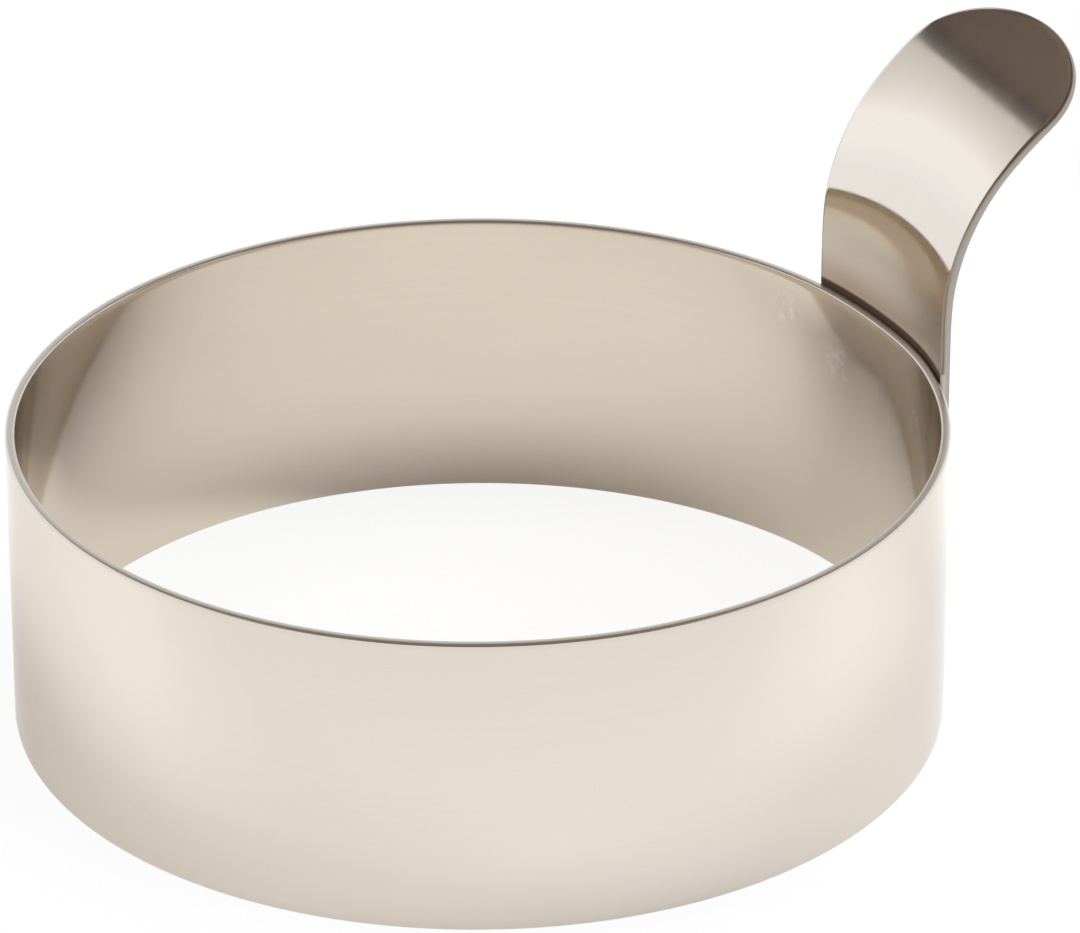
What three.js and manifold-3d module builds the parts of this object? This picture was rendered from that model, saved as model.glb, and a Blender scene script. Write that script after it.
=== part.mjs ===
// Egg ring: a rolled steel band with a curled thumb tab spot-welded to its outside.
// Millimetres, +Z up. The tab points along +X. The origin lies on the resting plane, under the middle of the part.
import * as THREE from "three";
import { mergeVertices } from "three/addons/utils/BufferGeometryUtils.js";
import Module from "manifold-3d";

// Band: one strip rolled into a ring
const BAND_OUTER_DIAMETER = 76.2;
const BAND_HEIGHT = 25.2;
const BAND_THICKNESS = 0.8;
const RIM_ROUNDING = 0.15; // takes the sharpness off the band's edges
const RIM_STEPS = 2; // flats in that rounding
const BAND_HALF_STEPS = 60; // half the number of flats round the band

// Butt seam: weld metal between the strip's two ends, behind the tab
const SEAM_WIDTH = 1.2;
const SEAM_CLEARANCE = 0.1; // on each side of the weld metal
const SEAM_HALF_STEPS = 1;

// Tab: one blank, curved to the band at its foot and bent outward above the rim
const TAB_WIDTH = 21.4;
const TAB_THICKNESS = 0.8;
const TAB_STANDOFF = 0.3; // between band and tab, bridged by the spot welds
const TAB_OVERLAP = 12; // from the rim down to the foot's edge
const TAB_RISE = 5.7; // from the rim up to the start of the bend
const TAB_BEND_RADIUS = 19.1; // at the middle of the sheet
const TAB_BEND_ANGLE = THREE.MathUtils.degToRad(60);
const TAB_LIP = 4.5; // from the end of the bend to the tip
const TAB_TIP_LENGTH = 7.2; // of the half-oval end
const TAB_CORNER_RADIUS = 3; // of the foot's corners
const TAB_STEPS_ACROSS = 16;
const TAB_STEPS_ALONG = 30;
const FLAT_CURVATURE = 1e-6; // crosswise curvature that counts as flat, per millimetre

// Spot welds: a nugget at each side of the tab's foot
const WELD_DIAMETER = 4;
const WELD_EDGE_DISTANCE = 3.9; // from the tab's side edge to the weld's centre
const WELD_PENETRATION = 0.4; // share of each sheet's thickness that its pocket takes up
const WELD_CLEARANCE = 0.1; // between a weld and its pockets
const WELD_SIDES = 24;

const MERGE_TOLERANCE = 1e-4; // points nearer than this are one point of a solid

// Sizes that follow from the ones above
const BAND_OUTER_RADIUS = BAND_OUTER_DIAMETER / 2;
const BAND_INNER_RADIUS = BAND_OUTER_RADIUS - BAND_THICKNESS;
const TAB_INNER_RADIUS = BAND_OUTER_RADIUS + TAB_STANDOFF;
const TAB_ROOT_RADIUS = TAB_INNER_RADIUS + TAB_THICKNESS / 2;
const TAB_BEND_START = TAB_OVERLAP + TAB_RISE;
const TAB_LENGTH = TAB_BEND_START + TAB_BEND_RADIUS * TAB_BEND_ANGLE + TAB_LIP;
const FOOT_LEVEL = BAND_HEIGHT - TAB_OVERLAP;
const WELD_LEVEL = BAND_HEIGHT - TAB_OVERLAP / 2;
const WELD_ANGLE = (TAB_WIDTH / 2 - WELD_EDGE_DISTANCE) / TAB_ROOT_RADIUS;

const steel = { color: 0xd9d0c5, metalness: 1 };
const bandSteel = new THREE.MeshStandardMaterial({ ...steel, roughness: 0.22 });
const tabSteel = new THREE.MeshStandardMaterial({ ...steel, roughness: 0.2 });
const weldSteel = new THREE.MeshStandardMaterial({ ...steel, color: 0xb9b0a6, roughness: 0.45 });

const wasm = await Module();
wasm.setup();

function toSolid(geometry) {
  const bare = geometry.clone();
  bare.deleteAttribute("normal");
  bare.deleteAttribute("uv");
  const merged = mergeVertices(bare, MERGE_TOLERANCE);
  return new wasm.Manifold(
    new wasm.Mesh({
      numProp: 3,
      vertProperties: new Float32Array(merged.attributes.position.array),
      triVerts: new Uint32Array(merged.index.array),
    }),
  );
}

function toGeometry(solid) {
  const mesh = solid.getMesh();
  const geometry = new THREE.BufferGeometry();
  geometry.setAttribute("position", new THREE.BufferAttribute(mesh.vertProperties, 3));
  geometry.setIndex(new THREE.BufferAttribute(mesh.triVerts, 1));
  geometry.computeVertexNormals();
  return geometry;
}

function cut(geometry, tools) {
  const solid = tools.reduce((rest, tool) => rest.subtract(toSolid(tool)), toSolid(geometry));
  return toGeometry(solid);
}

// A stretch of the band's section from one azimuth to another, with softened edges
function bandStretch(from, to, halfSteps) {
  const outline = new THREE.Shape();
  outline.absarc(0, 0, BAND_OUTER_RADIUS, from, to, false);
  outline.absarc(0, 0, BAND_INNER_RADIUS, to, from, true);
  outline.closePath();
  const geometry = new THREE.ExtrudeGeometry(outline, {
    depth: BAND_HEIGHT - 2 * RIM_ROUNDING,
    curveSegments: halfSteps,
    bevelThickness: RIM_ROUNDING,
    bevelSize: RIM_ROUNDING,
    bevelOffset: -RIM_ROUNDING,
    bevelSegments: RIM_STEPS,
  });
  return geometry.translate(0, 0, RIM_ROUNDING);
}

// The tab's sheet bent from its flat blank: across from its middle line, along from its foot, offset outward
function bentPoint(across, along, offset) {
  const past = along - TAB_BEND_START;
  const turned = THREE.MathUtils.clamp(past / TAB_BEND_RADIUS, 0, TAB_BEND_ANGLE);
  const straight = past - turned * TAB_BEND_RADIUS;
  const out = TAB_BEND_RADIUS * (1 - Math.cos(turned)) + straight * Math.sin(turned);
  const up = TAB_BEND_RADIUS * Math.sin(turned) + straight * Math.cos(turned);

  // The foot follows the band's curve, which fades to flat over the bend
  const curvature = Math.max((1 - turned / TAB_BEND_ANGLE) / TAB_ROOT_RADIUS, FLAT_CURVATURE);
  const swing = across * curvature;
  const side = Math.sin(swing) / curvature + offset * Math.sin(swing);
  const depth = (Math.cos(swing) - 1) / curvature + offset * Math.cos(swing);

  return new THREE.Vector3(
    TAB_ROOT_RADIUS + out + depth * Math.cos(turned),
    side,
    FOOT_LEVEL + TAB_BEND_START + up - depth * Math.sin(turned),
  );
}

// The blank's lower and upper ends at a place across it: rounded foot corners and a half-oval tip
function blankEnds(across) {
  const intoCorner = Math.max(0, Math.abs(across) - (TAB_WIDTH / 2 - TAB_CORNER_RADIUS));
  const foot = TAB_CORNER_RADIUS - Math.sqrt(Math.max(0, TAB_CORNER_RADIUS ** 2 - intoCorner ** 2));
  const share = Math.min(1, Math.abs(across) / (TAB_WIDTH / 2));
  const tip = TAB_LENGTH - TAB_TIP_LENGTH * (1 - Math.sqrt(1 - share ** 2));
  return { foot, tip };
}

function tabSheet() {
  const geometry = new THREE.BoxGeometry(2, 1, TAB_THICKNESS, TAB_STEPS_ACROSS, TAB_STEPS_ALONG, 1);
  const places = geometry.attributes.position;
  for (let i = 0; i < places.count; i++) {
    const across = (TAB_WIDTH / 2) * Math.sin((Math.PI / 2) * places.getX(i));
    const { foot, tip } = blankEnds(across);
    const along = THREE.MathUtils.lerp(foot, tip, places.getY(i) + 0.5);
    const point = bentPoint(across, along, places.getZ(i));
    places.setXYZ(i, point.x, point.y, point.z);
  }
  return geometry;
}

// A round plug that lies along +X between two distances from the band's axis
function plug(diameter, from, to) {
  const geometry = new THREE.CylinderGeometry(diameter / 2, diameter / 2, to - from, WELD_SIDES);
  return geometry.rotateZ(-Math.PI / 2).translate((from + to) / 2, 0, 0);
}

// Spot welds and the pockets that they fill in the two sheets
const pocketFloor = BAND_OUTER_RADIUS - WELD_PENETRATION * BAND_THICKNESS;
const pocketRoof = TAB_INNER_RADIUS + WELD_PENETRATION * TAB_THICKNESS;
const weldSides = [
  { name: "spot_weld_left", angle: WELD_ANGLE },
  { name: "spot_weld_right", angle: -WELD_ANGLE },
];
const pockets = weldSides.map(({ angle }) =>
  plug(WELD_DIAMETER + 2 * WELD_CLEARANCE, pocketFloor, pocketRoof).rotateZ(angle).translate(0, 0, WELD_LEVEL),
);
const spotWelds = weldSides.map(({ name, angle }) => {
  const nugget = plug(WELD_DIAMETER, pocketFloor + WELD_CLEARANCE, pocketRoof - WELD_CLEARANCE);
  const mesh = new THREE.Mesh(nugget, weldSteel);
  mesh.name = name;
  mesh.rotation.z = angle;
  mesh.position.z = WELD_LEVEL;
  return mesh;
});

// Band, open at the seam, and the weld metal that closes it
const weldHalfAngle = SEAM_WIDTH / 2 / BAND_OUTER_RADIUS;
const openHalfAngle = (SEAM_WIDTH / 2 + SEAM_CLEARANCE) / BAND_OUTER_RADIUS;
const band = bandStretch(openHalfAngle, 2 * Math.PI - openHalfAngle, BAND_HALF_STEPS);
const ringBand = new THREE.Mesh(cut(band, pockets), bandSteel);
ringBand.name = "ring_band";
const seamWeld = new THREE.Mesh(bandStretch(-weldHalfAngle, weldHalfAngle, SEAM_HALF_STEPS), weldSteel);
seamWeld.name = "seam_weld";

// Tab
const handleTab = new THREE.Mesh(cut(tabSheet(), pockets), tabSteel);
handleTab.name = "handle_tab";

// The whole part, with the band's axis set back so that the origin is under its middle
const tabReach = bentPoint(0, TAB_LENGTH, TAB_THICKNESS / 2).x;
const welded = new THREE.Group();
welded.position.x = (BAND_OUTER_RADIUS - tabReach) / 2;
welded.add(ringBand, seamWeld, handleTab, ...spotWelds);

const eggRing = new THREE.Group();
eggRing.name = "egg_ring";
eggRing.add(welded);

export default eggRing;
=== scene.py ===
"""Egg ring: the looks of a rolled steel band with a curled thumb tab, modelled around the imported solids.

All sizes are in metres. The tab points along +X, and the ring stands on the plane z = 0.
"""

from __future__ import annotations

import logging
import math
from collections.abc import Callable, Iterator
from contextlib import contextmanager
from dataclasses import dataclass, field
from enum import Enum

import bmesh
import bpy
from mathutils import Matrix, Vector

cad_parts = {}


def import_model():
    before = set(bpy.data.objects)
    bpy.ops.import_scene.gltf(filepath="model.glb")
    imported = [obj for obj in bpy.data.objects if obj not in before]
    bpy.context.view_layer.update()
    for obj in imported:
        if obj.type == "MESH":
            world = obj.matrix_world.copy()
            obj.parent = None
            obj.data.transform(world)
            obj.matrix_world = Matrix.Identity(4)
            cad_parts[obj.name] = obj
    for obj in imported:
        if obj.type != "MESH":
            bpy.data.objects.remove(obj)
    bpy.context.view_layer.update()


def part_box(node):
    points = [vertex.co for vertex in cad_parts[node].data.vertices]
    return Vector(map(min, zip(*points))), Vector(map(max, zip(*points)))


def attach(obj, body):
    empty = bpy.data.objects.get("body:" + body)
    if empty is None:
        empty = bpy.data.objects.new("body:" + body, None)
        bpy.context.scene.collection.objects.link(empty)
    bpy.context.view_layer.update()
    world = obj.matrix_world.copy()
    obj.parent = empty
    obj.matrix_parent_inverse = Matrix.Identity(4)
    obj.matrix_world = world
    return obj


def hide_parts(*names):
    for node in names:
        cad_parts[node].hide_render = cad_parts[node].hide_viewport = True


Triple = tuple[float, float, float]
Colour = Triple
Paint = tuple[float, float, float, float]
Socket = bpy.types.NodeSocket
Element = bmesh.types.BMVert | bmesh.types.BMEdge

LOG = logging.getLogger("egg_ring")
ROOT_BODY = "root"
EDGE_LAYER = "cut_edge"
MM = 0.001
MERGE_DISTANCE = 1e-7

# Colours of the steels and of the light, as linear values
STEEL = (0.705, 0.645, 0.57)
TAB_STEEL = (0.81, 0.765, 0.71)
RIM_STEEL = (0.84, 0.82, 0.785)
WELD_STEEL = (0.5, 0.45, 0.4)
SCUFF = (0.93, 0.9, 0.83)
WHITE = (1.0, 1.0, 1.0)
COOL_LIGHT = (0.98, 0.99, 1.025)
COLD_LIGHT = (0.93, 0.99, 1.075)
RIM_ROUGHNESS = 0.36

# Range that most of a noise texture's values lie in, and how rough its detail is
NOISE_LOW = 0.3
NOISE_HIGH = 0.7
NOISE_ROUGHNESS = 0.55

# Vector operations that give a number
MEASURES = ("DISTANCE", "DOT_PRODUCT")

# Ray bounces, enough for steel that mirrors steel
MIRROR_BOUNCES = 16
ALL_BOUNCES = 20


class Part(Enum):
    """Kind of mesh element that a selection picks."""

    VERT = "verts"
    EDGE = "edges"


class Slot(Enum):
    """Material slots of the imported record."""

    BAND = "band_steel"
    TAB = "tab_steel"
    WELD = "weld_steel"


def deselect_all() -> None:
    """Clears the selection, which holds the frame's own nodes after loading."""
    bpy.ops.object.select_all(action="DESELECT")


@contextmanager
def editing(piece: bpy.types.Object) -> Iterator[None]:
    """Opens a piece in edit mode with everything selected, and leaves it in object mode.

    Args:
        piece: The mesh object to edit.

    Yields:
        Nothing, once the piece is open.
    """
    deselect_all()
    piece.select_set(True)
    bpy.context.view_layer.objects.active = piece
    bpy.ops.object.mode_set(mode="EDIT")
    bpy.ops.mesh.select_mode(type="VERT")
    bpy.ops.mesh.select_all(action="SELECT")
    yield
    bpy.ops.object.mode_set(mode="OBJECT")


def pick(piece: bpy.types.Object, part: Part, test: Callable[[Element], bool]) -> None:
    """Selects the elements of a piece in edit mode that pass a test, and nothing else.

    Args:
        piece: The mesh object in edit mode.
        part: The kind of element to pick.
        test: Takes an element and says whether it is picked.
    """
    bpy.ops.mesh.select_mode(type=part.name)
    bpy.ops.mesh.select_all(action="DESELECT")
    mesh = bmesh.from_edit_mesh(piece.data)
    for element in getattr(mesh, part.value):
        element.select = test(element)
    mesh.select_flush_mode()
    bmesh.update_edit_mesh(piece.data)


def turn(angle: float, axis: str, centre: Vector) -> None:
    """Turns the edit-mode selection by the right-hand rule.

    Args:
        angle: Angle in radians.
        axis: X, Y or Z.
        centre: Point that the axis passes through.
    """
    bpy.ops.transform.rotate(value=-angle, orient_axis=axis, center_override=centre)


def apply_modifier(piece: bpy.types.Object, kind: str, **settings: object) -> None:
    """Adds a modifier to a piece and applies it.

    Args:
        piece: The mesh object.
        kind: The modifier's type.
        settings: The modifier's properties by name.
    """
    bpy.context.view_layer.objects.active = piece
    modifier = piece.modifiers.new(kind.lower(), kind)
    for name, value in settings.items():
        setattr(modifier, name, value)
    bpy.ops.object.modifier_apply(modifier=modifier.name)


def push(
    piece: bpy.types.Object, direction: str, depth: float, share: Callable[[Vector], float]
) -> None:
    """Presses part of a piece along one direction, fading out as a weight says.

    Args:
        piece: The mesh object.
        direction: X, Y, Z or NORMAL.
        depth: Distance that a point of full weight moves.
        share: Gives the weight from 0 to 1 at a point of the mesh.
    """
    group = piece.vertex_groups.new(name="press")
    for vertex in piece.data.vertices:
        weight = share(vertex.co)
        if weight > 0.0:
            group.add([vertex.index], weight, "REPLACE")
    apply_modifier(
        piece, "DISPLACE", direction=direction, strength=depth, mid_level=0.0, vertex_group=group.name
    )
    piece.vertex_groups.clear()


def fade(distance: float, reach: float) -> float:
    """Gives a smooth weight that falls from 1 at no distance to 0 at the reach."""
    near = max(0.0, 1.0 - distance / reach)
    return near * near * (3.0 - 2.0 * near)


def opaque(colour: Colour) -> Paint:
    """Adds full opacity to a colour."""
    return (*colour, 1.0)


def smooth(piece: bpy.types.Object, angle: float) -> None:
    """Shades a piece smooth up to an angle, with its large faces setting the normals.

    Args:
        piece: The mesh object.
        angle: Edges that turn more than this stay sharp, in radians.
    """
    deselect_all()
    piece.select_set(True)
    bpy.context.view_layer.objects.active = piece
    bpy.ops.object.shade_smooth_by_angle(angle=angle)
    apply_modifier(piece, "WEIGHTED_NORMAL", mode="FACE_AREA", keep_sharp=True)


def mark_cut_edges(piece: bpy.types.Object, test: Callable[[bpy.types.MeshPolygon], bool]) -> None:
    """Marks the faces of a piece's cut edges for its finish.

    Args:
        piece: The mesh object.
        test: Takes a face and says whether it lies on a cut edge.
    """
    layer = piece.data.attributes.new(EDGE_LAYER, "FLOAT", "FACE")
    layer.data.foreach_set("value", [float(test(face)) for face in piece.data.polygons])


def hand_over(piece: bpy.types.Object, node: str, finish: SteelFinish) -> None:
    """Dresses a finished piece and puts it in the place of its solid.

    Args:
        piece: The finished mesh object.
        node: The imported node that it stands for.
        finish: The finish that dresses it.
    """
    piece.data.materials.clear()
    piece.data.materials.append(finish.material())
    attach(piece, ROOT_BODY)
    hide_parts(node)
    LOG.info("%s: %d faces", piece.name, len(piece.data.polygons))


class NodeSheet:
    """Short calls for wiring a node tree."""

    def __init__(self, tree: bpy.types.NodeTree) -> None:
        """Starts with an empty tree."""
        self.tree = tree
        tree.nodes.clear()

    def add(self, kind: str, **settings: object) -> bpy.types.Node:
        """Adds a node.

        Args:
            kind: The node's type name.
            settings: Properties by name, and input defaults by socket name with spaces as underscores.

        Returns:
            The new node.
        """
        node = self.tree.nodes.new(kind)
        for name, value in settings.items():
            if hasattr(node, name):
                setattr(node, name, value)
            else:
                node.inputs[name.replace("_", " ")].default_value = value
        return node

    def join(self, source: Socket, target: Socket) -> None:
        """Links two sockets."""
        self.tree.links.new(source, target)

    def feed(self, target: Socket, value: Socket | float | Paint) -> None:
        """Links a socket to another one, or gives it a plain value.

        Args:
            target: The input to feed.
            value: The output to link to it, or the value to set.
        """
        if isinstance(value, Socket):
            self.join(value, target)
        else:
            target.default_value = value

    def maths(self, operation: str, first: Socket | float, second: Socket | float) -> Socket:
        """Adds a Math node.

        Args:
            operation: The node's operation.
            first: A socket or a number.
            second: A socket or a number.

        Returns:
            The node's output.
        """
        node = self.add("ShaderNodeMath", operation=operation)
        for target, value in zip(node.inputs, (first, second)):
            self.feed(target, value)
        return node.outputs[0]

    def vector(self, operation: str, place: Socket, other: Vector | Triple) -> Socket:
        """Adds a Vector Math node that works with a fixed vector.

        Args:
            operation: The node's operation.
            place: The vector to work on.
            other: The fixed vector.

        Returns:
            The node's output: a number for a measure, or else a vector.
        """
        node = self.add("ShaderNodeVectorMath", operation=operation)
        self.join(place, node.inputs[0])
        node.inputs[1].default_value = other
        return node.outputs["Value" if operation in MEASURES else "Vector"]

    def height(self, place: Socket) -> Socket:
        """Gives a vector's upright part.

        Args:
            place: The vector.

        Returns:
            Its Z.
        """
        node = self.add("ShaderNodeSeparateXYZ")
        self.join(place, node.inputs[0])
        return node.outputs["Z"]

    def span(self, value: Socket, start: float, end: float, low: float, high: float) -> Socket:
        """Maps a value's range smoothly to another range.

        Args:
            value: The socket to map.
            start: Value that gives low.
            end: Value that gives high.
            low: Result at and before the start.
            high: Result at and after the end.

        Returns:
            The mapped value.
        """
        node = self.add("ShaderNodeMapRange", interpolation_type="SMOOTHSTEP")
        self.join(value, node.inputs["Value"])
        for name, number in zip(("From Min", "From Max", "To Min", "To Max"), (start, end, low, high)):
            node.inputs[name].default_value = number
        return node.outputs["Result"]

    def blend(self, share: Socket, first: Socket | Paint, second: Socket | Paint) -> Socket:
        """Mixes two colours.

        Args:
            share: The second colour's share.
            first: A colour or a colour socket.
            second: A colour or a colour socket.

        Returns:
            The mixed colour.
        """
        node = self.add("ShaderNodeMix", data_type="RGBA")
        self.join(share, node.inputs["Factor"])
        colours = [target for target in node.inputs if target.type == "RGBA"]
        self.feed(colours[0], first)
        self.feed(colours[1], second)
        return next(source for source in node.outputs if source.type == "RGBA")

    def mix(self, share: Socket, first: Socket, second: Socket) -> Socket:
        """Mixes two shaders.

        Args:
            share: The second shader's share.
            first: A shader.
            second: A shader.

        Returns:
            The mixed shader.
        """
        node = self.add("ShaderNodeMixShader")
        for target, source in zip(node.inputs, (share, first, second)):
            self.join(source, target)
        return node.outputs[0]

    def noise(self, place: Socket, size: float, detail: float) -> Socket:
        """Adds a noise texture.

        Args:
            place: The coordinates that it follows.
            size: About the size of its patches.
            detail: Number of finer layers in it.

        Returns:
            The noise's value.
        """
        node = self.add("ShaderNodeTexNoise", Scale=1.0 / size, Detail=detail, Roughness=NOISE_ROUGHNESS)
        self.join(place, node.inputs["Vector"])
        return node.outputs["Fac"]


@dataclass(frozen=True)
class Mark:
    """A patch of specks where a weld or a knock has left its trace on the steel."""

    place: Vector
    reach: float
    speck: float
    colour: Colour
    strength: float
    core: float = 1.0 / 3.0
    speck_detail: float = 2.0
    speck_start: float = 0.5
    speck_full: float = 0.62
    roughness: float = 0.25
    metal: float = 1.0

    def share(self, sheet: NodeSheet, place: Socket) -> Socket:
        """Gives the patch's strength.

        Args:
            sheet: The material's node sheet.
            place: The object coordinates.

        Returns:
            The share of the patch's colour.
        """
        apart = sheet.vector("DISTANCE", place, self.place)
        near = sheet.span(apart, self.reach, self.reach * self.core, 0.0, self.strength)
        specks = sheet.noise(place, self.speck, self.speck_detail)
        specks = sheet.span(specks, self.speck_start, self.speck_full, 0.0, 1.0)
        return sheet.maths("MULTIPLY", near, specks)


@dataclass(frozen=True)
class GapShade:
    """Painted shade on the tab's inner face just above the rim, standing in for the shadow in the joint's
    gap.
    """

    centre: Vector
    radius: float
    level: float
    depth: float
    solid: float = 0.6
    edge: float = 0.1 * MM
    # Dark brown, matte colour of the painted shade in the joint's gap
    colour: Colour = (0.085, 0.047, 0.029)
    roughness: float = 0.6
    metal: float = 0.0

    def share(self, sheet: NodeSheet, place: Socket) -> Socket:
        """Gives the painted shade's strength.

        Args:
            sheet: The material's node sheet.
            place: The object coordinates.

        Returns:
            The share of the painted shade's colour: full just above the level, and on the inner face
            alone.
        """
        top, fading = self.level + self.depth, self.level + self.solid * self.depth
        low = sheet.span(sheet.height(place), top, fading, 0.0, 1.0)
        apart = sheet.vector("DISTANCE", sheet.vector("MULTIPLY", place, (1.0, 1.0, 0.0)), self.centre)
        inner = sheet.span(apart, self.radius + self.edge, self.radius - self.edge, 0.0, 1.0)
        return sheet.maths("MULTIPLY", low, inner)


@dataclass(frozen=True)
class WearAndShadeZone:
    """A zone that fades out upward: used for a satin that use has rubbed, and for painted shade just above
    the joint.
    """

    start: float
    end: float
    colour: Colour
    roughness: float
    metal: float = 1.0

    def share(self, sheet: NodeSheet, place: Socket) -> Socket:
        """Gives the zone's strength.

        Args:
            sheet: The material's node sheet.
            place: The object coordinates.

        Returns:
            The share of the zone's colour.
        """
        return sheet.span(sheet.height(place), self.start, self.end, 1.0, 0.0)


class Grain(Enum):
    """Way that the polishing lines run, by the coordinates that they follow."""

    ROUND_THE_RING = "Object"
    ALONG_THE_TAB = "UV"


@dataclass(frozen=True)
class SteelFinish:
    """A polished or ground steel surface, with the traces of making and use on it, and any painted shade.
    """

    name: str
    colour: Colour
    roughness: float
    grain: Grain = Grain.ROUND_THE_RING
    edge_tint: Colour = (0.9, 0.885, 0.865)
    line_stretch: Triple = (10.0, 10.0, 5200.0)
    line_detail: float = 2.0
    line_depth: float = 0.012
    roughness_swing: float = 0.025
    cloud_size: float = 5.0 * MM
    cloud_detail: float = 3.0
    wave_size: float = 22.0 * MM
    wave_detail: float = 1.0
    wave_depth: float = 0.03 * MM
    edge_colour: Colour = (0.4, 0.36, 0.315)
    edge_roughness: float = 0.34
    traces: tuple[Mark | GapShade | WearAndShadeZone, ...] = ()

    def material(self) -> bpy.types.Material:
        """Builds the finish's node material.

        Returns:
            The material.
        """
        material = bpy.data.materials.new(self.name)
        material.use_nodes = True
        sheet = NodeSheet(material.node_tree)
        shader = sheet.add("ShaderNodeBsdfPrincipled", Metallic=1.0, Specular_Tint=opaque(self.edge_tint))
        output = sheet.add("ShaderNodeOutputMaterial")
        sheet.join(shader.outputs["BSDF"], output.inputs["Surface"])
        places = sheet.add("ShaderNodeTexCoord").outputs

        # Polishing lines in the colour, and cloudy patches in the roughness
        deep = tuple(channel * (1.0 - self.line_depth) for channel in self.colour)
        lines = self.lines(sheet, places[self.grain.value])
        colour = sheet.blend(lines, opaque(deep), opaque(self.colour))
        cloud = sheet.noise(places["Object"], self.cloud_size, self.cloud_detail)
        low, high = self.roughness - self.roughness_swing, self.roughness + self.roughness_swing
        roughness = sheet.span(cloud, NOISE_LOW, NOISE_HIGH, low, high)

        # Traces of making and use, and any painted shade, then the cut edges over all of them
        for trace in self.traces:
            share = trace.share(sheet, places["Object"])
            colour = sheet.blend(share, colour, opaque(trace.colour))
            roughness = sheet.maths("MAXIMUM", roughness, sheet.maths("MULTIPLY", share, trace.roughness))
            if trace.metal < 1.0:
                sheet.join(sheet.span(share, 0.0, 1.0, 1.0, trace.metal), shader.inputs["Metallic"])
        edge = sheet.add("ShaderNodeAttribute", attribute_name=EDGE_LAYER).outputs["Fac"]
        colour = sheet.blend(edge, colour, opaque(self.edge_colour))
        sheet.join(colour, shader.inputs["Base Color"])
        roughness = sheet.maths("MAXIMUM", roughness, sheet.maths("MULTIPLY", edge, self.edge_roughness))
        sheet.join(roughness, shader.inputs["Roughness"])

        # Long, faint waves in the sheet
        waves = sheet.noise(places["Object"], self.wave_size, self.wave_detail)
        bump = sheet.add("ShaderNodeBump", Strength=1.0, Distance=self.wave_depth)
        sheet.join(waves, bump.inputs["Height"])
        sheet.join(bump.outputs["Normal"], shader.inputs["Normal"])
        return material

    def lines(self, sheet: NodeSheet, place: Socket) -> Socket:
        """Adds fine polishing lines, drawn out along the grain.

        Args:
            sheet: The material's node sheet.
            place: The coordinates that the grain follows.

        Returns:
            The lines' value, from 0 to 1.
        """
        mapping = sheet.add("ShaderNodeMapping", Scale=self.line_stretch)
        sheet.join(place, mapping.inputs["Vector"])
        grain = sheet.noise(mapping.outputs["Vector"], 1.0, self.line_detail)
        return sheet.span(grain, NOISE_LOW, NOISE_HIGH, 0.0, 1.0)


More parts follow.
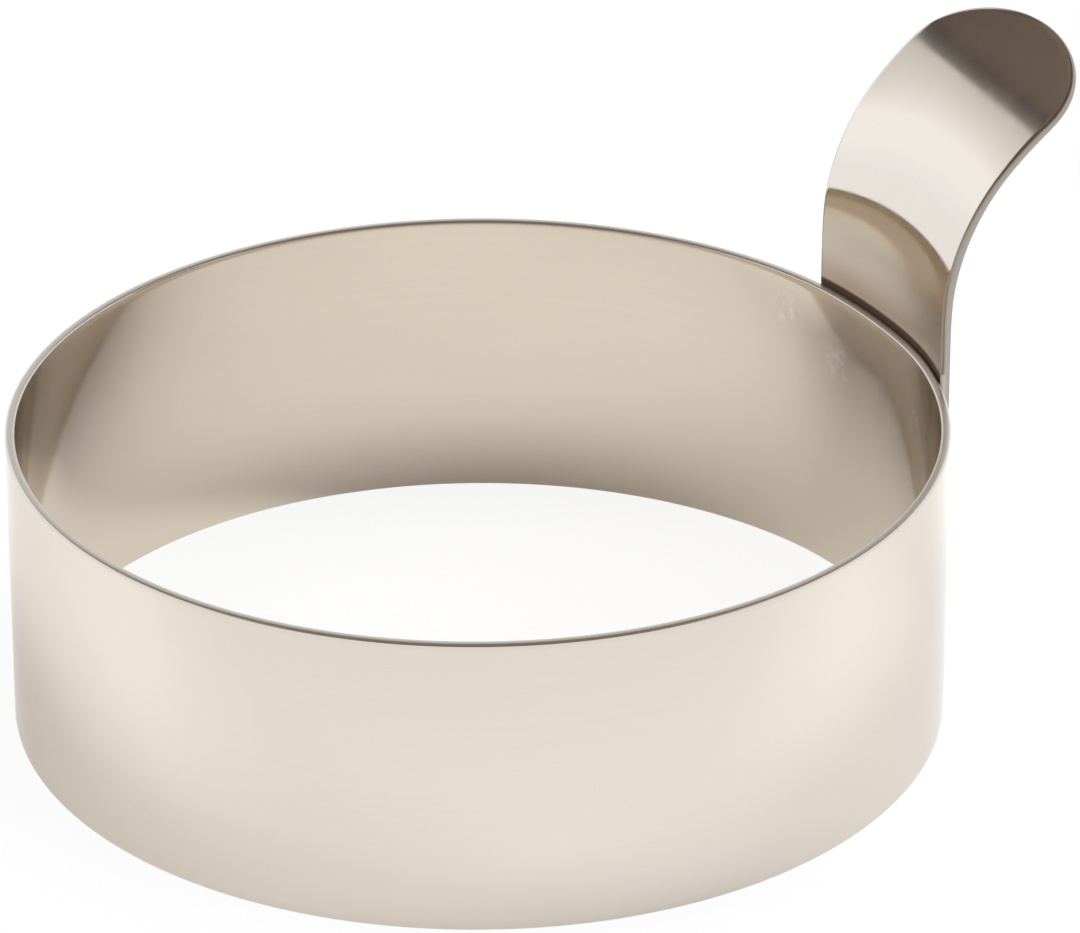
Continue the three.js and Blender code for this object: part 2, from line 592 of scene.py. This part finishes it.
@dataclass
class RingBand:
    """The rolled band, butt-welded behind the tab, where it stays a little flatter."""

    thickness: float = 0.8 * MM
    rim_rounding: float = 0.22 * MM
    rim_segments: int = 6
    rim_slope: float = math.sin(math.radians(35))
    rows: int = 44
    steps: int = 480
    seam_width: float = 1.2 * MM
    seam_hairline: float = 0.004 * MM
    seam_steps: int = 4
    flat_azimuth: float = math.radians(4)
    flat_reach: float = math.radians(15)
    flat_depth: float = 0.2 * MM
    flat_rise: float = 5.0 * MM
    scuff_azimuth: float = math.radians(20.3)
    scuff_level: float = 21.9 * MM
    scuff_reach: float = 2.0 * MM
    scuff_speck: float = 0.7 * MM
    scuff_strength: float = 0.35
    smooth_angle: float = math.radians(30)
    centre: Vector = field(init=False)
    outer_radius: float = field(init=False)
    height: float = field(init=False)

    def __post_init__(self) -> None:
        """Takes the band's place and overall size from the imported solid."""
        low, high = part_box("ring_band")
        self.outer_radius = (high.y - low.y) / 2
        self.height = high.z
        self.centre = Vector((low.x + self.outer_radius, 0.0, 0.0))

    @property
    def inner_radius(self) -> float:
        """Radius of the band's inner wall."""
        return self.outer_radius - self.thickness

    def place(self, radius: float, azimuth: float, level: float) -> Vector:
        """Gives a point by its distance from the ring's axis, its azimuth and its height."""
        return self.centre + Vector((radius * math.cos(azimuth), radius * math.sin(azimuth), level))

    def scuff(self) -> Mark:
        """Gives the scuffed patch on the inner wall beside the tab."""
        place = self.place(self.inner_radius, self.scuff_azimuth, self.scuff_level)
        return Mark(place, self.scuff_reach, self.scuff_speck, SCUFF, self.scuff_strength)

    def flatten(self, piece: bpy.types.Object) -> None:
        """Presses a piece in where the strip's ends stay flatter at the seam.

        Args:
            piece: The band or a piece that lies against it.
        """

        def share(point: Vector) -> float:
            """Gives the flat spot's weight.

            Args:
                point: A point of the mesh.

            Returns:
                The weight from 0 to 1.
            """
            azimuth = math.atan2(point.y - self.centre.y, point.x - self.centre.x)
            above = max(0.0, point.z - self.height)
            return fade(abs(azimuth - self.flat_azimuth), self.flat_reach) * fade(above, self.flat_rise)

        push(piece, "X", -self.flat_depth, share)

    def stretch(self, name: str, start: float, sweep: float, steps: int) -> bpy.types.Object:
        """Spins the band's section round its axis.

        Args:
            name: The piece's name.
            start: Azimuth where the stretch starts, in radians.
            sweep: Angle that it covers.
            steps: Number of steps round it.

        Returns:
            The closed stretch.
        """
        deselect_all()
        bpy.ops.mesh.primitive_plane_add(size=1.0)
        piece = bpy.context.object
        piece.name = name
        with editing(piece):
            bpy.ops.transform.resize(value=(self.thickness, self.height, 1.0))
            bpy.ops.mesh.bevel(
                affect="VERTICES", offset=self.rim_rounding, segments=self.rim_segments, profile=0.5
            )
            long_enough = self.height / 2
            pick(piece, Part.EDGE, lambda edge: edge.calc_length() > long_enough)
            bpy.ops.mesh.subdivide(number_cuts=self.rows - 1)
            bpy.ops.mesh.select_all(action="SELECT")
            turn(math.pi / 2, "X", Vector())
            middle = self.outer_radius - self.thickness / 2
            bpy.ops.transform.translate(value=self.place(middle, 0.0, self.height / 2))
            turn(start, "Z", self.centre)
            bpy.ops.mesh.spin(steps=steps, angle=-sweep, center=self.centre, axis=(0.0, 0.0, 1.0))
            bpy.ops.mesh.select_all(action="SELECT")
            bpy.ops.mesh.remove_doubles(threshold=MERGE_DISTANCE)
            bpy.ops.mesh.normals_make_consistent(inside=False)
        mark_cut_edges(piece, lambda face: abs(face.normal.z) > self.rim_slope)
        self.flatten(piece)
        return piece

    def build(self, welds: SpotWelds, band_finish: SteelFinish, seam_finish: SteelFinish) -> None:
        """Makes the band, with the weld marks on its inner wall, and the weld metal in its seam.

        Args:
            welds: The spot welds that mark the band.
            band_finish: The band's finish.
            seam_finish: The weld metal's finish.
        """
        half_open = (self.seam_width / 2 + self.seam_hairline) / self.outer_radius
        band = self.stretch("band", half_open, 2 * math.pi - 2 * half_open, self.steps)
        welds.dent(band, self.inner_radius)
        smooth(band, self.smooth_angle)
        hand_over(band, "ring_band", band_finish)
        half_weld = self.seam_width / 2 / self.outer_radius
        seam = self.stretch("band_seam", -half_weld, 2 * half_weld, self.seam_steps)
        smooth(seam, self.smooth_angle)
        hand_over(seam, "seam_weld", seam_finish)


@dataclass
class HandleTab:
    """The stamped tab, curved to the band at its foot and bent outward above the rim."""

    band: RingBand
    width: float = 21.4 * MM
    thickness: float = 0.8 * MM
    standoff: float = 0.14 * MM
    overlap: float = 12.0 * MM
    rise: float = 5.7 * MM
    bend_radius: float = 19.1 * MM
    bend_angle: float = math.radians(60)
    lip: float = 4.5 * MM
    tip_length: float = 7.2 * MM
    corner_radius: float = 3.0 * MM
    # Height above the rim of the painted shade in the joint's gap
    gap_shade_depth: float = 0.68 * MM
    rubbed_start: float = 3.0 * MM
    rubbed_end: float = 10.5 * MM
    rubbed_roughness: float = 0.26
    rubbed_colour: Colour = (0.875, 0.85, 0.83)
    # Painted shade just above the joint: its height and dark brown colour
    shade_above_joint_height: float = 4.0 * MM
    shade_above_joint_colour: Colour = (0.63, 0.545, 0.475)
    curl_fade: float = math.radians(44)
    curl_ease: float = 0.15
    edge_rounding: float = 0.2 * MM
    edge_segments: int = 10
    columns: int = 48
    crowding: float = 0.6
    tip_span: float = 8.3 * MM
    rows: int = 96
    bend_steps: int = 144
    bend_ease: int = 12
    face_tilt: float = math.cos(math.radians(10))
    smooth_angle: float = math.radians(35)

    @property
    def root_radius(self) -> float:
        """Distance from the ring's axis to the middle of the tab's foot."""
        return self.band.outer_radius + self.standoff + self.thickness / 2

    @property
    def bend_start(self) -> float:
        """Length along the blank where the bend starts."""
        return self.overlap + self.rise

    @property
    def length(self) -> float:
        """Length of the flat blank."""
        return self.bend_start + self.bend_radius * self.bend_angle + self.lip

    def gap_shade(self) -> GapShade:
        """Gives the painted shade in the joint between the rim and the tab."""
        return GapShade(self.band.centre, self.root_radius, self.band.height, self.gap_shade_depth)

    def rubbed(self) -> WearAndShadeZone:
        """Gives the rubbed zone above the rim."""
        start, end = [self.band.height + rise for rise in (self.rubbed_start, self.rubbed_end)]
        return WearAndShadeZone(start, end, self.rubbed_colour, self.rubbed_roughness)

    def shade_above_joint(self) -> WearAndShadeZone:
        """Gives the painted shade just above the joint, darkest at the rim and fading out upward."""
        rim = self.band.height
        return WearAndShadeZone(rim, rim + self.shade_above_joint_height, self.shade_above_joint_colour, self.rubbed_roughness)

    def blank_ends(self, across: float) -> tuple[float, float]:
        """Gives the blank's lower and upper end at a place across it.

        Args:
            across: Distance from the blank's middle line.

        Returns:
            The heights of the rounded foot and of the half-oval tip.
        """
        corner = max(0.0, abs(across) - (self.width / 2 - self.corner_radius))
        foot = self.corner_radius - math.sqrt(max(0.0, self.corner_radius**2 - corner**2))
        share = min(1.0, abs(across) / (self.width / 2))
        tip = self.length - self.tip_length * (1 - math.sqrt(1 - share**2))
        return foot, tip

    def blank(self) -> bpy.types.Object:
        """Cuts the flat blank, standing in the XZ plane with its foot at z = 0.

        Returns:
            The blank with its thickness and its rounded edge.
        """
        deselect_all()
        bpy.ops.mesh.primitive_grid_add(x_subdivisions=self.columns, y_subdivisions=self.rows, size=1.0)
        piece = bpy.context.object
        piece.name = "thumb_tab"
        column_of = [round((vertex.co.x + 0.5) * self.columns) for vertex in piece.data.vertices]
        height_of = [(vertex.co.y + 0.5) * self.length for vertex in piece.data.vertices]
        with editing(piece):
            turn(math.pi / 2, "X", Vector())
            bpy.ops.transform.translate(value=(0.0, 0.0, 0.5))
            bpy.ops.transform.resize(value=(self.width, 1.0, self.length), center_override=Vector())
            for column in range(self.columns + 1):
                self.trim_column(piece, column, column_of, height_of)
            self.thicken()
            bpy.ops.mesh.select_all(action="SELECT")
            bpy.ops.mesh.normals_make_consistent(inside=False)
        mark_cut_edges(piece, lambda face: abs(face.normal.y) < self.face_tilt)
        return piece

    def thicken(self) -> None:
        """Gives the sheet in edit mode its thickness in thin layers, whose outlines round the edge."""
        middle = Vector((0.0, 0.0, self.length / 2))
        level, reach = 0.0, 0.0
        bpy.ops.mesh.select_all(action="SELECT")
        self.reach_out(-self.edge_rounding, middle)
        bpy.ops.transform.translate(value=(0.0, -self.thickness / 2, 0.0))
        for layer in range(1, self.edge_segments + 1):
            angle = math.pi * layer / self.edge_segments
            next_level = self.thickness / 2 * (1.0 - math.cos(angle))
            next_reach = self.edge_rounding * math.sin(angle)
            bpy.ops.mesh.extrude_region_move(
                TRANSFORM_OT_translate={"value": (0.0, next_level - level, 0.0)}
            )
            self.reach_out(next_reach - reach, middle)
            level, reach = next_level, next_reach

    def reach_out(self, step: float, middle: Vector) -> None:
        """Widens the edit-mode selection on all sides of the blank.

        Args:
            step: Distance that each side moves out.
            middle: The blank's middle.
        """
        wider = 1.0 + step / (self.width / 2)
        longer = 1.0 + step / (self.length / 2)
        bpy.ops.transform.resize(value=(wider, 1.0, longer), center_override=middle)

    def trim_column(
        self, piece: bpy.types.Object, column: int, column_of: list[int], height_of: list[float]
    ) -> None:
        """Moves one column of the blank to its place and trims its ends to the blank's outline.

        Args:
            piece: The blank in edit mode.
            column: The column's number.
            column_of: Each vertex's column.
            height_of: Each vertex's height before trimming.
        """
        even = (column / self.columns - 0.5) * self.width
        crowded = self.width / 2 * math.sin(math.pi * (column / self.columns - 0.5))
        across = even + self.crowding * (crowded - even)
        foot, tip = self.blank_ends(across)
        pick(piece, Part.VERT, lambda v: column_of[v.index] == column)
        bpy.ops.transform.translate(value=(across - even, 0.0, 0.0))
        low, high = self.bend_start, self.length - self.tip_span
        pick(piece, Part.VERT, lambda v: column_of[v.index] == column and height_of[v.index] < low)
        bpy.ops.transform.resize(value=(1.0, 1.0, (low - foot) / low), center_override=(0.0, 0.0, low))
        pick(piece, Part.VERT, lambda v: column_of[v.index] == column and height_of[v.index] > high)
        share = (tip - high) / self.tip_span
        bpy.ops.transform.resize(value=(1.0, 1.0, share), center_override=(0.0, 0.0, high))

    def curl_share(self, height: float) -> float:
        """Gives the share of the crosswise curl at a height on the flat blank.

        Args:
            height: Height above the blank's foot.

        Returns:
            1 on the foot, then falling evenly over the bend, with soft ends.
        """
        past = (height - self.bend_start) / (self.bend_radius * self.curl_fade)
        start = max(0.0, past + self.curl_ease) ** 2 / (4 * self.curl_ease)
        end = max(0.0, 1.0 + self.curl_ease - past) ** 2 / (4 * self.curl_ease)
        if past < self.curl_ease:
            return 1.0 - start
        return min(1.0 - past, end) if past < 1.0 - self.curl_ease else end

    def curl_foot(self, piece: bpy.types.Object) -> None:
        """Curves the blank crosswise to the band, fading to flat over the bend.

        Args:
            piece: The flat blank.
        """
        group = piece.vertex_groups.new(name="foot_curl")
        for vertex in piece.data.vertices:
            group.add([vertex.index], self.curl_share(vertex.co.z), "REPLACE")
        apply_modifier(
            piece,
            "SIMPLE_DEFORM",
            deform_method="BEND",
            deform_axis="Z",
            angle=self.width / self.root_radius,
            vertex_group=group.name,
        )
        piece.vertex_groups.clear()

    def bend(self, piece: bpy.types.Object, heights: list[float]) -> None:
        """Bends the blank outward above the rim, in small turns.

        Args:
            piece: The curled blank.
            heights: Each vertex's height on the flat blank.
        """
        run_step = self.bend_radius * self.bend_angle / self.bend_steps
        pivot = Vector((0.0, 0.0, self.bend_start + run_step / 2))
        turned = 0.0
        with editing(piece):
            for step in range(self.bend_steps):
                line = self.bend_start + (step + 0.5) * run_step
                from_end = min(step, self.bend_steps - 1 - step) + 0.5
                sharpness = min(1.0, from_end / self.bend_ease)
                turn_step = self.bend_angle * sharpness / (self.bend_steps - self.bend_ease)
                pick(piece, Part.VERT, lambda v: heights[v.index] > line)
                turn(turn_step, "X", pivot)
                turned += turn_step
                pivot += run_step * Vector((0.0, -math.sin(turned), math.cos(turned)))

    def build(self, welds: SpotWelds, finish: SteelFinish) -> None:
        """Makes the tab from its blank and sets it against the band.

        Args:
            welds: The spot welds that mark the tab.
            finish: The tab's finish.
        """
        piece = self.blank()
        heights = [vertex.co.z for vertex in piece.data.vertices]
        self.curl_foot(piece)
        self.bend(piece, heights)
        with editing(piece):
            turn(math.pi / 2, "Z", Vector())
            foot_level = self.band.height - self.overlap
            bpy.ops.transform.translate(value=self.band.place(self.root_radius, 0.0, foot_level))
        self.band.flatten(piece)
        welds.dent(piece, self.root_radius + self.thickness / 2)
        smooth(piece, self.smooth_angle)
        hand_over(piece, "handle_tab", finish)


@dataclass
class SpotWelds:
    """The weld nuggets between band and tab, and the dents that the electrodes leave."""

    band: RingBand
    tab: HandleTab
    diameter: float = 4.0 * MM
    edge_distance: float = 3.9 * MM
    depth: float = 0.22 * MM
    flash: float = 0.25 * MM
    sides: int = 32
    waist_cuts: int = 3
    smooth_angle: float = math.radians(50)
    dent_reach: float = 2.4 * MM
    dent_depth: float = 0.025 * MM
    scuff_reach: float = 2.4 * MM
    scuff_speck: float = 0.8 * MM
    scuff_strength: float = 0.35

    @property
    def angle(self) -> float:
        """Azimuth of a weld from the tab's middle."""
        return (self.tab.width / 2 - self.edge_distance) / self.tab.root_radius

    @property
    def level(self) -> float:
        """Height of the welds."""
        return self.band.height - self.tab.overlap / 2

    def marks(self, radius: float) -> tuple[Vector, ...]:
        """Gives the places of both welds on a wall of the given radius."""
        return tuple(self.band.place(radius, side * self.angle, self.level) for side in (1.0, -1.0))

    def scuffs(self, radius: float) -> tuple[Mark, ...]:
        """Gives the specks that the electrodes leave on a wall of the given radius."""
        return tuple(
            Mark(place, self.scuff_reach, self.scuff_speck, SCUFF, self.scuff_strength)
            for place in self.marks(radius)
        )

    def dent(self, piece: bpy.types.Object, radius: float) -> None:
        """Presses the electrodes' shallow dents into one wall of a piece.

        Args:
            piece: The band or the tab.
            radius: Distance of that wall from the ring's axis.
        """
        marks = self.marks(radius)
        wall = self.tab.thickness / 2

        def share(point: Vector) -> float:
            """Gives the dents' weight.

            Args:
                point: A point of the mesh.

            Returns:
                The weight from 0 to 1, which is 0 off the dented wall.
            """
            aside = point - self.band.centre
            if abs(math.hypot(aside.x, aside.y) - radius) > wall:
                return 0.0
            return max(fade((point - mark).length, self.dent_reach) for mark in marks)

        push(piece, "NORMAL", -self.dent_depth, share)

    def nugget(self, name: str, angle: float) -> bpy.types.Object:
        """Makes one nugget with a squeezed-out waist.

        Args:
            name: The piece's name.
            angle: Azimuth of the nugget.

        Returns:
            The nugget.
        """
        inner = self.band.outer_radius - self.depth
        outer = self.band.outer_radius + self.tab.standoff + self.depth
        deselect_all()
        bpy.ops.mesh.primitive_cylinder_add(
            vertices=self.sides, radius=self.diameter / 2 - self.flash, depth=outer - inner
        )
        piece = bpy.context.object
        piece.name = name
        with editing(piece):
            pick(piece, Part.EDGE, lambda edge: abs(edge.verts[0].co.z - edge.verts[1].co.z) > self.depth)
            bpy.ops.mesh.subdivide(number_cuts=self.waist_cuts)
            pick(piece, Part.VERT, lambda vertex: abs(vertex.co.z) < self.tab.standoff / 2)
            grow = self.diameter / (self.diameter - 2 * self.flash)
            bpy.ops.transform.resize(value=(grow, grow, 1.0), center_override=Vector())
            bpy.ops.mesh.select_all(action="SELECT")
            turn(math.pi / 2, "Y", Vector())
            bpy.ops.transform.translate(value=self.band.place((inner + outer) / 2, 0.0, self.level))
            turn(angle, "Z", self.band.centre)
        self.band.flatten(piece)
        smooth(piece, self.smooth_angle)
        return piece

    def build(self, finish: SteelFinish) -> None:
        """Makes both nuggets.

        Args:
            finish: The weld metal's finish.
        """
        for side, angle in (("left", self.angle), ("right", -self.angle)):
            piece = self.nugget(f"nugget_{side}", angle)
            hand_over(piece, f"spot_weld_{side}", finish)


@dataclass(frozen=True)
class Softbox:
    """A soft lamp that faces the ring, as strong as the light that it gives the table there."""

    name: str
    azimuth: float
    elevation: float
    distance: float
    width: float
    height: float
    table_light: float
    colour: Colour

    def build(self, centre: Vector, albedo: float) -> None:
        """Hangs the lamp.

        Args:
            centre: The ring's centre, which the lamp faces.
            albedo: Share of light that the table gives back.
        """
        turned, raised = math.radians(self.azimuth), math.radians(self.elevation)
        level = math.cos(raised)
        towards = Vector((math.cos(turned) * level, math.sin(turned) * level, math.sin(raised)))
        deselect_all()
        bpy.ops.object.light_add(type="AREA", location=centre + towards * self.distance)
        lamp = bpy.context.object
        lamp.name = self.name
        lamp.rotation_euler = towards.to_track_quat("Z", "Y").to_euler()
        lamp.visible_camera = False
        lamp.visible_glossy = False
        lamp.data.shape = "RECTANGLE"
        lamp.data.size = self.width
        lamp.data.size_y = self.height
        lamp.data.color = self.colour
        lamp.data.energy = self.table_light * (math.pi * self.distance) ** 2 / (albedo * towards.z)


@dataclass
class Studio:
    """White table, soft lamps and the room that the steel mirrors.

    Azimuths and elevations are in degrees. A near value is where a change starts, and a reach is
    where it ends.
    """

    band: RingBand
    table_size: float = 30.0
    table_albedo: float = 0.92
    # Grey of the table in front of the ring: painted shade that dims what the front wall mirrors
    front_shade_albedo: float = 0.745
    # Warmer table inside the ring: painted light for the warm light that the steel walls bounce onto it
    inside_bounce_tint: Colour = (0.95, 0.93, 0.885)
    front_near: float = 0.02
    front_reach: float = 0.06
    table_near: float = 0.045
    table_far: float = 0.12
    shadow_lift: float = 0.86

    # Light that the steel throws back on the table
    bounce: float = 0.27
    bounce_reach: float = 0.052
    bounce_colour: Colour = (1.0, 0.96, 0.895)
    inner_bounce: float = 0.7
    back_azimuth: float = 72.0
    back_near: float = 0.004
    back_reach: float = 0.036
    left_bounce: float = 0.75
    left_azimuth: float = 130.0
    left_near: float = 0.024
    left_reach: float = 0.033
    right_bounce: float = 0.0
    right_azimuth: float = -55.0
    right_near: float = 0.018
    right_reach: float = 0.036

    # The room's colours by elevation, all round and in front
    room_strength: float = 1.11
    room_stops: tuple[tuple[float, Colour], ...] = (
        (0.0, (0.905, 0.91, 0.915)),
        (8.0, (0.97, 0.97, 0.97)),
        (18.0, (0.99, 0.97, 0.965)),
        (25.0, (0.81, 0.79, 0.76)),
        (32.2, (0.62, 0.595, 0.555)),
        (32.9, (0.19, 0.172, 0.16)),
        (34.3, (0.122, 0.108, 0.1)),
        (35.5, (0.09, 0.074, 0.068)),
        (38.0, (0.18, 0.135, 0.105)),
        (70.0, (0.18, 0.15, 0.125)),
    )
    front_azimuth: float = -115.0
    front_start: float = 0.2
    front_full: float = 0.7
    front_stops: tuple[tuple[float, Colour], ...] = (
        (0.0, (0.7, 0.7, 0.7)),
        (10.0, (0.5, 0.48, 0.46)),
        (17.0, (0.25, 0.21, 0.18)),
        (30.0, (0.14, 0.1, 0.075)),
        (70.0, (0.18, 0.145, 0.115)),
    )
    lamps: tuple[Softbox, ...] = (
        Softbox(
            "right softbox",
            azimuth=-4.0,
            elevation=56.0,
            distance=1.0,
            width=0.85,
            height=0.85,
            table_light=0.55,
            colour=COOL_LIGHT,
        ),
        Softbox(
            "left softbox",
            azimuth=150.0,
            elevation=50.0,
            distance=0.75,
            width=0.5,
            height=0.5,
            table_light=0.43,
            colour=COOL_LIGHT,
        ),
        Softbox(
            "low right softbox",
            azimuth=-66.0,
            elevation=20.0,
            distance=1.1,
            width=1.2,
            height=0.5,
            table_light=0.4,
            colour=COLD_LIGHT,
        ),
    )

    def towards(self, sheet: NodeSheet, vector: Socket, azimuth: float) -> Socket:
        """Gives a vector's length towards an azimuth.

        Args:
            sheet: The node sheet.
            vector: The vector.
            azimuth: The azimuth in degrees.

        Returns:
            The length.
        """
        turned = math.radians(azimuth)
        return sheet.vector("DOT_PRODUCT", vector, (math.cos(turned), math.sin(turned), 0.0))

    def paper(self, sheet: NodeSheet, place: Socket, inside: Socket) -> Socket:
        """Colours the table: painted shade makes it greyer in front, and painted bounce light makes it
        warmer inside the ring.

        Args:
            sheet: The table's node sheet.
            place: The object coordinates.
            inside: 1 inside the ring and 0 outside it.

        Returns:
            The colour.
        """
        # Painted shade: a greyer table in front of the ring
        forward = self.towards(sheet, place, self.front_azimuth)
        nearer = sheet.span(forward, self.front_near, self.front_reach, 0.0, 1.0)
        back, front = [opaque((grey, grey, grey)) for grey in (self.table_albedo, self.front_shade_albedo)]
        # Painted light: a warmer table inside the ring
        return sheet.blend(inside, sheet.blend(nearer, back, front), opaque(self.inside_bounce_tint))

    def table(self) -> None:
        """Lays the white table, which fades to plain white away from the ring."""
        deselect_all()
        bpy.ops.mesh.primitive_plane_add(size=self.table_size)
        table = bpy.context.object
        table.name = "table"
        material = bpy.data.materials.new("white table")
        material.use_nodes = True
        sheet = NodeSheet(material.node_tree)
        matte = sheet.add("ShaderNodeBsdfDiffuse")
        glow = sheet.add("ShaderNodeEmission", Color=opaque(WHITE), Strength=1.0)
        thrown = sheet.add("ShaderNodeEmission", Color=opaque(self.bounce_colour), Strength=1.0)
        place = sheet.add("ShaderNodeTexCoord").outputs["Object"]
        apart = sheet.vector("DISTANCE", place, self.band.centre)
        inside = sheet.span(apart, self.band.outer_radius, self.band.inner_radius, 0.0, 1.0)
        sheet.join(self.paper(sheet, place, inside), matte.inputs["Color"])

        # Plain white far off, for rays that show it, and paler shadows beside the ring
        path = sheet.add("ShaderNodeLightPath").outputs
        seen = sheet.maths("MAXIMUM", path["Is Camera Ray"], path["Is Glossy Ray"])
        seen = sheet.maths("MAXIMUM", seen, path["Is Transmission Ray"])
        far = sheet.span(apart, self.table_near, self.table_far, 0.0, 1.0)
        lift = sheet.maths("MULTIPLY", path["Is Camera Ray"], self.shadow_lift)
        share = sheet.maths("MAXIMUM", sheet.maths("MULTIPLY", seen, far), lift)
        surface = sheet.mix(share, matte.outputs[0], glow.outputs[0])

        bounce = self.thrown_back(sheet, place, apart, inside)
        bounce = sheet.maths("MULTIPLY", bounce, path["Is Glossy Ray"])
        surface = sheet.mix(bounce, surface, thrown.outputs[0])
        output = sheet.add("ShaderNodeOutputMaterial")
        sheet.join(surface, output.inputs["Surface"])
        table.data.materials.append(material)

    def thrown_back(self, sheet: NodeSheet, place: Socket, apart: Socket, inside: Socket) -> Socket:
        """Gives the share of light that the steel throws back on the table beside it.

        Args:
            sheet: The table's node sheet.
            place: The object coordinates.
            apart: Distance from the ring's axis.
            inside: 1 inside the ring and 0 outside it.

        Returns:
            The share: fading out to the right outside the ring, and inside it least at its back.
        """
        local = sheet.vector("SUBTRACT", place, self.band.centre)
        right = self.towards(sheet, local, self.right_azimuth)
        strength = sheet.span(right, self.right_near, self.right_reach, self.bounce, self.right_bounce)
        around = sheet.span(apart, self.band.outer_radius, self.bounce_reach, 1.0, 0.0)
        around = sheet.maths("MULTIPLY", around, strength)
        back = self.towards(sheet, local, self.back_azimuth)
        within = sheet.span(back, self.back_near, self.back_reach, self.inner_bounce, 0.0)
        left = self.towards(sheet, local, self.left_azimuth)
        beside = sheet.span(left, self.left_near, self.left_reach, 0.0, self.left_bounce)
        within = sheet.maths("MAXIMUM", within, beside)
        share = sheet.add("ShaderNodeMix", data_type="FLOAT")
        for name, source in (("Factor", inside), ("A", around), ("B", within)):
            sheet.join(source, share.inputs[name])
        return share.outputs["Result"]

    def ramp(self, sheet: NodeSheet, height: Socket, stops: tuple[tuple[float, Colour], ...]) -> Socket:
        """Colours the room by elevation.

        Args:
            sheet: The room's node sheet.
            height: Sine of the elevation.
            stops: Elevations in degrees with their colours, from low to high.

        Returns:
            The colour.
        """
        node = sheet.add("ShaderNodeValToRGB")
        marks = node.color_ramp.elements
        while len(marks) < len(stops):
            marks.new(1.0)
        for mark, (elevation, colour) in zip(marks, stops):
            mark.position = math.sin(math.radians(elevation))
            mark.color = opaque(colour)
        sheet.join(height, node.inputs["Fac"])
        return node.outputs["Color"]

    def room(self) -> None:
        """Sets the room: white low down all round, dark and warm above and in front."""
        world = bpy.data.worlds.new("studio room")
        bpy.context.scene.world = world
        world.use_nodes = True
        sheet = NodeSheet(world.node_tree)
        direction = sheet.add("ShaderNodeTexCoord").outputs["Generated"]
        height = sheet.height(direction)
        forward = self.towards(sheet, direction, self.front_azimuth)
        facing = sheet.span(forward, self.front_start, self.front_full, 0.0, 1.0)
        all_round = self.ramp(sheet, height, self.room_stops)
        in_front = self.ramp(sheet, height, self.front_stops)
        light = sheet.add("ShaderNodeBackground", Strength=self.room_strength)
        sheet.join(sheet.blend(facing, all_round, in_front), light.inputs["Color"])
        output = sheet.add("ShaderNodeOutputWorld")
        sheet.join(light.outputs[0], output.inputs["Surface"])

    def build(self) -> None:
        """Sets up the table, the room and the lamps."""
        self.table()
        self.room()
        for lamp in self.lamps:
            lamp.build(self.band.centre, self.table_albedo)


@dataclass
class PhotoCamera:
    """The camera at the photograph's viewing angle."""

    band: RingBand
    image_width: float = 1080.0
    focal_pixels: float = 7245.7
    sensor_width: float = 36.0
    distance_in_radii: float = 15.6472
    azimuth: float = math.radians(-25.5)
    elevation: float = math.radians(29.01)
    pan: float = math.radians(-0.488)
    tilt: float = math.radians(1.783)
    roll: float = math.radians(0.318)

    def build(self) -> None:
        """Makes the camera and gives it to the scene."""
        away = Vector(
            (
                math.sin(self.azimuth) * math.cos(self.elevation),
                -math.cos(self.azimuth) * math.cos(self.elevation),
                math.sin(self.elevation),
            )
        )
        distance = self.distance_in_radii * self.band.outer_radius
        aim = away.to_track_quat("Z", "Y").to_matrix().to_4x4()
        aim @= Matrix.Rotation(self.pan, 4, "Y")
        aim @= Matrix.Rotation(self.tilt, 4, "X")
        aim @= Matrix.Rotation(-self.roll, 4, "Z")
        deselect_all()
        bpy.ops.object.camera_add(location=self.band.centre + away * distance)
        camera = bpy.context.object
        camera.name = "photo_camera"
        camera.rotation_euler = aim.to_euler()
        camera.data.sensor_width = self.sensor_width
        camera.data.lens = self.focal_pixels * self.sensor_width / self.image_width
        bpy.context.scene.camera = camera


def main() -> None:
    """Builds the pieces, the studio and the camera."""
    logging.basicConfig(level=logging.INFO, format="%(name)s %(message)s")
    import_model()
    bpy.context.scene.view_settings.view_transform = "Standard"
    bpy.context.scene.cycles.glossy_bounces = MIRROR_BOUNCES
    bpy.context.scene.cycles.max_bounces = ALL_BOUNCES

    band = RingBand()
    tab = HandleTab(band)
    welds = SpotWelds(band, tab)
    PhotoCamera(band).build()
    band.build(
        welds,
        SteelFinish(
            "band steel",
            STEEL,
            roughness=0.09,
            edge_colour=RIM_STEEL,
            edge_roughness=RIM_ROUGHNESS,
            traces=welds.scuffs(band.inner_radius) + (band.scuff(),),
        ),
        SteelFinish(
            "ground seam steel",
            STEEL,
            roughness=0.12,
            edge_colour=RIM_STEEL,
            edge_roughness=RIM_ROUGHNESS,
        ),
    )
    tab_marks = welds.scuffs(tab.root_radius + tab.thickness / 2)
    tab.build(
        welds,
        SteelFinish(
            "tab steel",
            TAB_STEEL,
            roughness=0.075,
            grain=Grain.ALONG_THE_TAB,
            line_stretch=(160.0, 6.0, 1.0),
            wave_size=9.0 * MM,
            wave_depth=0.014 * MM,
            # The last two traces are painted shade: just above the joint, and in the joint's gap
            traces=tab_marks + (tab.rubbed(), tab.shade_above_joint(), tab.gap_shade()),
        ),
    )
    welds.build(SteelFinish("weld steel", WELD_STEEL, roughness=0.3))
    Studio(band).build()


if __name__ == "__main__":
    main()
